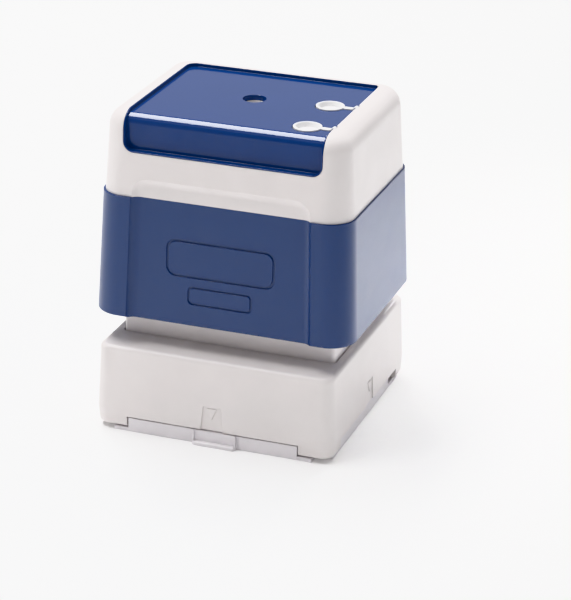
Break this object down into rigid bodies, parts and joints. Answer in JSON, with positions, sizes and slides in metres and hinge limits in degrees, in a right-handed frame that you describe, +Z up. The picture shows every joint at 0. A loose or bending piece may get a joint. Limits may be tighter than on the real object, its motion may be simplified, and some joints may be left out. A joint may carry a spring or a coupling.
{
  "type": "pre-inked hand stamp",
  "caption": "Pre-inked rectangular hand stamp: press-down handle on return springs, hinged ink plugs on top and a pull-off dust cap under a square skirt.",
  "frame": {"origin": "middle of the flat underside of the dust cap, on the surface the stamp stands on", "axes": "+Z up along the press direction; +X to the right and +Y to the rear when the front with the panel's drop faces the user"},
  "size_m": [0.0648, 0.0604, 0.0783],
  "materials": {
    "white_shell": "satin",
    "white_skirt": "satin",
    "white_neck": "satin",
    "white_plug": "satin",
    "cap_plastic": "fine matt",
    "blue_band": "fine matt",
    "blue_panel": "gloss",
    "tank_plastic": "satin",
    "frame_plastic": "satin",
    "gasket_rubber": "matt",
    "ink_foam": "open-cell foam soaked with ink",
    "ink_felt": "felt soaked with ink",
    "die_foam": "porous foam",
    "spring_steel": "drawn wire",
    "screw_steel": "zinc plated",
    "insert_brass": "turned"
  },
  "bodies": {
    "skirt": {"skirt_housing": "white_skirt", "return_spring_front_left": "spring_steel", "return_spring_front_right": "spring_steel", "return_spring_rear_left": "spring_steel", "return_spring_rear_right": "spring_steel"},
    "handle": {"grip_shell": "white_shell", "grip_band": "blue_band", "top_panel": "blue_panel", "plunger_body": "white_neck", "ink_tank_lid": "tank_plastic", "lid_gasket": "gasket_rubber", "lid_screws": "screw_steel", "ink_reservoir_foam": "ink_foam", "ink_transfer_felt": "ink_felt", "stamp_die": "die_foam", "die_frame": "frame_plastic", "die_frame_screws": "screw_steel", "threaded_insert": "insert_brass", "centre_screw": "screw_steel"},
    "dust_cap": {"dust_cap": "cap_plastic"},
    "ink_plug_front": {"ink_plug_front": "white_plug"},
    "ink_plug_rear": {"ink_plug_rear": "white_plug"}
  },
  "joints": [
    {"name": "handle_press", "type": "slide", "parent": "skirt", "child": "handle", "axis": [0, 0, -1], "range_m": [0, 0.005], "stiffness_N_per_m": 2400, "springref_m": -0.004, "deforming": ["return_spring_front_left", "return_spring_front_right", "return_spring_rear_left", "return_spring_rear_right"]},
    {"name": "cap_pull", "type": "slide", "parent": "skirt", "child": "dust_cap", "axis": [0, 0, -1], "range_m": [0, 0.02]},
    {"name": "front_plug_lift", "type": "hinge", "parent": "handle", "child": "ink_plug_front", "pos_m": [0.02405, -0.0149, 0.07775], "axis": [0, 1, 0], "range_deg": [0, 110]},
    {"name": "rear_plug_lift", "type": "hinge", "parent": "handle", "child": "ink_plug_rear", "pos_m": [0.02405, 0.0012, 0.07775], "axis": [0, 1, 0], "range_deg": [0, 110]}
  ]
}
